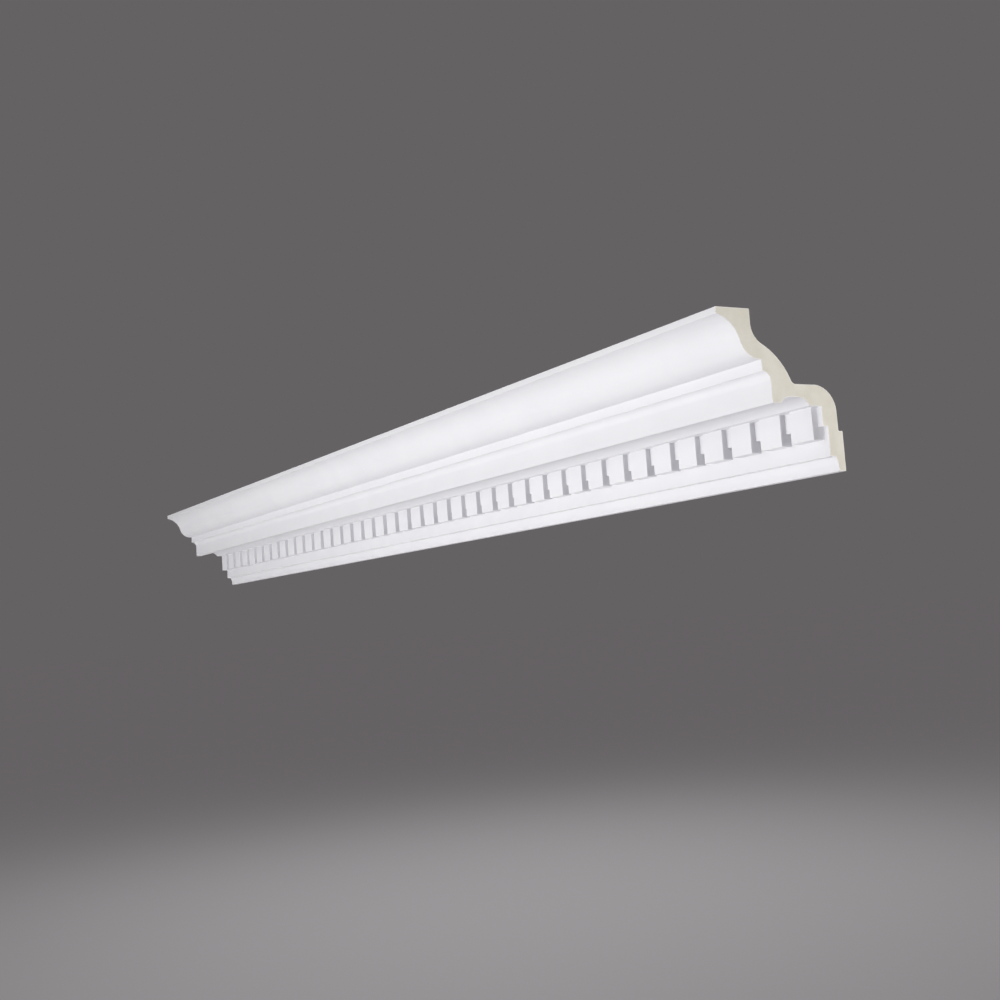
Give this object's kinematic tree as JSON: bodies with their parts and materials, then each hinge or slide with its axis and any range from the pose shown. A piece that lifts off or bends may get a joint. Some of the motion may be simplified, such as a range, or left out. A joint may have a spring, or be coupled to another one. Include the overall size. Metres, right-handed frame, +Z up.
{
  "type": "cornice moulding length",
  "caption": "Straight length of dentil cornice, with a cyma, corona, dentil course and hollow back, glued into the corner between wall and ceiling.",
  "frame": {"origin": "centre of the flat face that is glued to the wall, halfway along the length", "axes": "+X along the length, +Y into the wall, +Z up to the ceiling; the room is on -Y"},
  "size_m": [1.822, 0.14, 0.15],
  "materials": {
    "primed_foam": "rigid foam with a smooth factory coat of white primer; cream foam shows where it is sawn"
  },
  "bodies": {
    "root": {"cornice_length": "primed_foam"}
  },
  "joints": []
}
